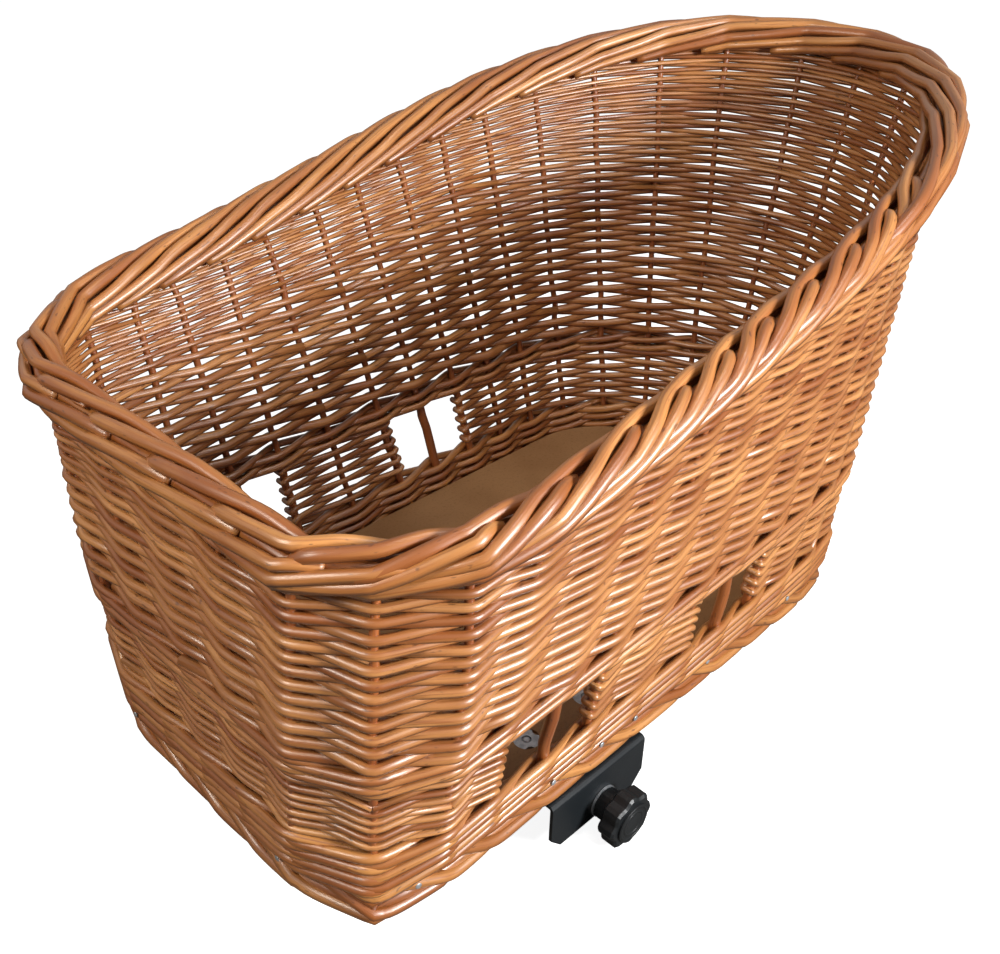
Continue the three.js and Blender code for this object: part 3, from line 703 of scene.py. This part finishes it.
# %% Nails
NAIL_PLACES = [3.5, 7.5, 11.3, 12.5, 13.5, 15.7, 18.3, 22.4]
NAIL_LEVEL = 25.0
NAIL_RADIUS = 2.0
NAIL_THICKNESS = 1.2
NAIL_OUT = 2.2
nail_heads = {}
bpy.ops.object.select_all(action="DESELECT")
bpy.ops.mesh.primitive_uv_sphere_add(segments=16, ring_count=8, radius=NAIL_RADIUS * MM)
first_head = bpy.context.active_object
first_head.scale = (1, NAIL_THICKNESS / (2 * NAIL_RADIUS), 1)
bpy.ops.object.transform_apply(scale=True)
bpy.ops.object.shade_smooth()
for number, nail_place in enumerate(NAIL_PLACES, 1):
    for side, place in (("right", nail_place), ("left", ROUND - nail_place)):
        outward = wall_outward(place, NAIL_LEVEL)
        middle = (wall_face(place, NAIL_LEVEL) + outward * NAIL_OUT + BASKET_PLACE) * MM
        turned = Matrix.Rotation(math.atan2(outward[1], outward[0]) - math.pi / 2, 4, "Z")
        head = first_head.copy()
        head.data = first_head.data.copy()
        head.name = f"nail_head_{side}_{number}"
        bpy.context.collection.objects.link(head)
        head.data.transform(Matrix.Translation(middle) @ turned)
        nail_heads[head] = f"edge_nail_{side}_{number}"
bpy.data.objects.remove(first_head)
print(len(nail_heads), "nail heads")

# %% [markdown]
# ## Rim border
# The upper ends of the stakes are rolled over into a border. Two strands rise side by side at each stake: one
# climbs over the top, bends at the inner edge and is tucked down inside, the other ends under its neighbour in a
# blunt knuckle. The border was rolled more tightly at the front, and at the back and left the strands lie
# further out, so there are three pairs. The last number of a step is the depth under the rim's top here.

# %% Rim strands
RIM_ROD = 3.75
FRONT_STAKES = 3
RIGHT_STAKES = 13
side_climbing = [(-2.1, 2.0, 21.0), (-1.6, 6.0, 17.5), (-1.05, 8.8, 12.0), (-0.55, 3.6, 5.8),
                 (-0.05, -5.6, 4.4), (0.5, -9.0, 5.4), (0.9, -10.2, 9.4), (1.5, -10.6, 13.0),
                 (2.3, -9.6, 17.6), (3.0, -6.5, 21.0)]
side_knuckled = [(-2.5, 3.0, 23.5), (-2.0, 7.6, 22.0), (-1.3, 9.8, 19.4), (-0.75, 9.6, 14.0),
                 (-0.25, 5.8, 7.0), (0.12, 0.6, 4.6), (0.3, -3.0, 7.5), (0.42, -4.5, 11.0)]
front_climbing = [(-0.95, 1.0, 16.0), (-0.84, 3.6, 9.0), (-0.66, 5.0, 5.8), (0.0, 0.2, 3.9),
                  (0.5, -6.4, 4.3), (0.95, -10.0, 8.6), (1.5, -10.4, 15.0), (2.1, -7.0, 20.5)]
front_knuckled = [(-2.1, 3.0, 23.5), (-1.7, 7.4, 22.2), (-1.0, 9.8, 18.8), (-0.25, 9.3, 12.0),
                  (0.2, 7.4, 9.8), (0.45, 3.5, 13.0)]
full_climbing = [(-2.4, 4.0, 15.5), (-1.9, 7.6, 8.8), (-1.4, 9.6, 3.4), (-0.6, 5.2, 2.6),
                 (0.2, -1.6, 3.0), (0.9, -7.6, 5.0), (1.45, -10.3, 9.4), (2.2, -10.6, 14.0),
                 (3.0, -9.4, 18.6), (3.4, -6.5, 21.0)]
full_knuckled = [(-2.6, 3.0, 23.5), (-2.0, 8.0, 21.6), (-1.2, 10.4, 17.6), (-0.4, 11.2, 11.2),
                 (0.1, 10.6, 8.6), (0.45, 5.0, 10.5)]


def rim_point(index, out, down):
    """Point of the rim: out of the wall's middle, and down from the rim's top."""
    return between_stakes(index, lambda number: rim_level(number) - down, out)


rim = Rods()
for index in range(STAKES):
    if min(index, STAKES - index) <= FRONT_STAKES:
        pair = (front_climbing, front_knuckled)
    elif index <= RIGHT_STAKES:
        pair = (side_climbing, side_knuckled)
    else:
        pair = (full_climbing, full_knuckled)
    for strand_steps in pair:
        strand(rim, index, strand_steps, RIM_ROD, rim_point)
core_rod(rim, 0.0, 13.5, 4.8, rim_point)
rim.make("rim_border_rods", "willow_border", willow_thick, "rim_border")

# %% [markdown]
# ## Board, metal and plastic
# These pieces keep the frame's shapes. Each gets a finish read in the object's own coordinates: a speckled brown
# board, black paint with a little dust in it, and bright zinc with a faint cloud.

# %% Finishes for the board, the paint and the zinc
def board_finish():
    """Brown floor board with fine dark grains."""
    material, shader, start = finish_named("board_brown")
    place = start.of("ShaderNodeTexCoord", out=3)
    grain = start.of("ShaderNodeTexNoise", Vector=place, Scale=420.0, Detail=3.0, Roughness=0.7)
    cloud = start.of("ShaderNodeTexNoise", Vector=place, Scale=18.0, Detail=2.0)
    base = cloud.between(0.3, 0.7).mix(srgb(176, 132, 88), srgb(160, 116, 74))
    speckled = (grain.between(0.5, 0.75) * 0.45).mix(base, srgb(124, 86, 54))
    bump = start.of("ShaderNodeBump", Height=grain, Distance=0.0003, Strength=0.4)
    put(shader, Base_Color=speckled, Roughness=grain * 0.2 + 0.5, Normal=bump)
    return material


def bracket_finish():
    """Black paint on the bracket and the jaws."""
    material, shader, start = finish_named("bracket_black")
    place = start.of("ShaderNodeTexCoord", out=3)
    grain = start.of("ShaderNodeTexNoise", Vector=place, Scale=900.0, Detail=2.0)
    dust = start.of("ShaderNodeTexNoise", Vector=place, Scale=35.0, Detail=4.0)
    black = srgb(30, 34, 37)
    dusty = tuple(c + 0.012 for c in black[:3]) + (1.0,)
    shade = (dust.between(0.45, 0.8) * 0.35).mix(black, dusty)
    bump = start.of("ShaderNodeBump", Height=grain, Distance=0.0001, Strength=0.5)
    put(shader, Base_Color=shade, Roughness=dust * 0.15 + 0.28, Normal=bump)
    return material


def zinc_finish():
    """Bright zinc on the nails, nuts, screws, studs and washers."""
    material, shader, start = finish_named("zinc_bright")
    place = start.of("ShaderNodeTexCoord", out=3)
    cloud = start.of("ShaderNodeTexNoise", Vector=place, Scale=260.0, Detail=3.0)
    shade = cloud.between(0.35, 0.7).mix(srgb(214, 217, 220), srgb(172, 177, 182))
    bump = start.of("ShaderNodeBump", Height=cloud, Distance=0.0001, Strength=0.3)
    put(shader, Base_Color=shade, Metallic=0.6, Roughness=cloud * 0.2 + 0.3, Normal=bump)
    return material


board_brown, bracket_black, zinc_bright = board_finish(), bracket_finish(), zinc_finish()
print("hard finishes:", board_brown.name, bracket_black.name, zinc_bright.name)

# %% [markdown]
# ## The knobs
# The knobs are black plastic with two raised rings on the cap. The rings are reckoned from the distance to the
# knobs' axis, which both knobs share, and feed the bump.

# %% The knob finish
def knob_finish(axis_x, axis_z):
    """Black plastic with two rings on the cap."""
    material, shader, start = finish_named("knob_black")
    place = start.of("ShaderNodeTexCoord", out=3)
    from_axis = start.of("ShaderNodeVectorMath", {"operation": "SUBTRACT"}, i0=place, i1=(axis_x, 0, axis_z))
    flat = start.of("ShaderNodeVectorMath", {"operation": "MULTIPLY"}, i0=from_axis, i1=(1, 0, 1))
    distance = start.of("ShaderNodeVectorMath", {"operation": "LENGTH"}, out=1, i0=flat)
    inner_ring = distance.between(0.0078, 0.0084) - distance.between(0.0092, 0.0098)
    outer_ring = distance.between(0.0114, 0.012) - distance.between(0.0126, 0.0132)
    grain = start.of("ShaderNodeTexNoise", Vector=place, Scale=1500.0, Detail=2.0)
    dust = start.of("ShaderNodeTexNoise", Vector=place, Scale=60.0, Detail=4.0)
    shade = (dust.between(0.45, 0.8) * 0.4).mix(srgb(27, 30, 32), srgb(44, 48, 51))
    bump = start.of("ShaderNodeBump", Height=inner_ring + outer_ring + grain * 0.1, Distance=0.0007,
                    Strength=0.8)
    put(shader, Base_Color=shade, Roughness=dust * 0.15 + 0.33, Normal=bump)
    return material


knob_low, knob_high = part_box("star_knob_right")
knob_black = knob_finish((knob_low[0] + knob_high[0]) / 2, (knob_low[2] + knob_high[2]) / 2)
print("knob axis in mm", [round((knob_low[i] + knob_high[i]) / 2 / MM) for i in (0, 2)])

# %% [markdown]
# ## Dressing the frame's pieces
# A piece's finish goes by how its name begins. The nail heads made above get the same zinc, and each stands for
# the nail of its own number.

# %% Which piece gets which finish
finish_by_start = {"floor_board": board_brown, "packing_block": board_brown, "rack_bracket": bracket_black,
                   "hook_jaw": bracket_black, "star_knob": knob_black, "edge_nail": zinc_bright,
                   "bracket_screw": zinc_bright, "tee_nut": zinc_bright, "clamp_stud": zinc_bright,
                   "stud_washer": zinc_bright}
dressed = 0
for node_name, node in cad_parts.items():
    for beginning, finish in finish_by_start.items():
        if node_name.startswith(beginning):
            for material_slot in node.material_slots:
                material_slot.material = finish
            dressed += 1
print(dressed, "frame pieces given a finish")
for head, nail in nail_heads.items():
    head.data.materials.append(zinc_bright)
    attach(head, "basket")
    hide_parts(nail)

# %% [markdown]
# ## Floor
# The picture has a white ground. The floor looks white to the camera, by a light of its own that only camera rays
# see, and keeps the basket's shadow. To the basket it is dark, so that little light is thrown up at the wicker.

# %% Floor
FLOOR_GLOW = 0.9
object_low, object_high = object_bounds()
bpy.ops.object.select_all(action="DESELECT")
bpy.ops.mesh.primitive_plane_add(size=12, location=(0, 0, object_low.z))
floor = bpy.context.active_object
floor.name = "floor"
floor_white, floor_shader, start = finish_named("floor_white")
rays = start.node("ShaderNodeLightPath")
seen = Socket(floor_white.node_tree, rays.outputs["Is Camera Ray"])
put(floor_shader, Base_Color=seen.mix((0.12, 0.11, 0.1, 1), (0.7, 0.7, 0.7, 1)), Roughness=0.9,
    Emission_Color=(1, 1, 1, 1), Specular_IOR_Level=0.0, Emission_Strength=seen * FLOOR_GLOW)
floor.data.materials.append(floor_white)
print("floor at", round(object_low.z / MM), "mm")

# %% [markdown]
# ## Light
# The light comes mostly from the right and low enough to reach under the rim. A weaker, slightly warm lamp lights
# the front and a soft one hangs overhead. The world is white to the camera, but dim to the basket, and a little
# brighter in reflections, for the varnish.

# %% World and lamps
WORLD_LIGHT = 0.15
WORLD_SHINE = 0.18
world = bpy.data.worlds.new("white_room")
bpy.context.scene.world = world
world.use_nodes = True
paths = Socket(world.node_tree).node("ShaderNodeLightPath")
plain = Socket(world.node_tree, paths.outputs["Is Camera Ray"])
glossy = Socket(world.node_tree, paths.outputs["Is Glossy Ray"])
put(world.node_tree.nodes["Background"], Color=(1, 1, 1, 1),
    Strength=plain * (1 - WORLD_LIGHT) + glossy * WORLD_SHINE + WORLD_LIGHT)


def lamp(name, place, target, size, power, color=(1, 1, 1)):
    """A square area lamp that looks at a target."""
    bpy.ops.object.light_add(type="AREA", location=place)
    light = bpy.context.active_object
    light.name = name
    light.data.size = size
    light.data.energy = power
    light.data.color = color
    aim = np.array(target) - np.array(place)
    light.rotation_euler = (math.acos(-aim[2] / np.linalg.norm(aim)), 0,
                            math.atan2(aim[1], aim[0]) - math.pi / 2)
    print(name, power, "W at", place)


lamp("key_right", (0.2, -1.15, 0.6), (0.05, -0.1, 0.2), size=0.3, power=20.5)
lamp("fill_front", (-0.85, 0.05, 0.85), (-0.1, 0, 0.15), size=0.3, power=5.4, color=(1, 0.93, 0.82))
lamp("top_soft", (0.3, -0.6, 2.4), (0.1, 0, 0.1), size=0.5, power=8)

# %% [markdown]
# ## Camera
# The camera stands where the photographer stood, above the front right corner, and is rolled by a little over a
# degree. Its axes are built from the direction it looks in.

# %% Camera
CAMERA_PLACE = np.array([-402.3, -448.1, 544.4]) * MM
CAMERA_ROLL = math.radians(1.14)
CAMERA_LENS = 40.296
forward = np.array([0.59798, 0.59136, -0.54104])
forward = forward / np.linalg.norm(forward)
level_right = np.cross(forward, [0, 0, 1])
level_right = level_right / np.linalg.norm(level_right)
level_up = np.cross(level_right, forward)
right = level_right * math.cos(CAMERA_ROLL) + level_up * math.sin(CAMERA_ROLL)
up = -level_right * math.sin(CAMERA_ROLL) + level_up * math.cos(CAMERA_ROLL)
camera_data = bpy.data.cameras.new("camera")
camera = bpy.data.objects.new("camera", camera_data)
bpy.context.collection.objects.link(camera)
pose = Matrix.Identity(4)
for row in range(3):
    pose[row][0], pose[row][1], pose[row][2] = right[row], up[row], -forward[row]
    pose[row][3] = CAMERA_PLACE[row]
camera.matrix_world = pose
camera_data.sensor_width = 36
camera_data.sensor_fit = "HORIZONTAL"
camera_data.lens = CAMERA_LENS
bpy.context.scene.camera = camera
bpy.context.scene.view_settings.view_transform = "Standard"
print("camera lens", camera_data.lens, "mm")
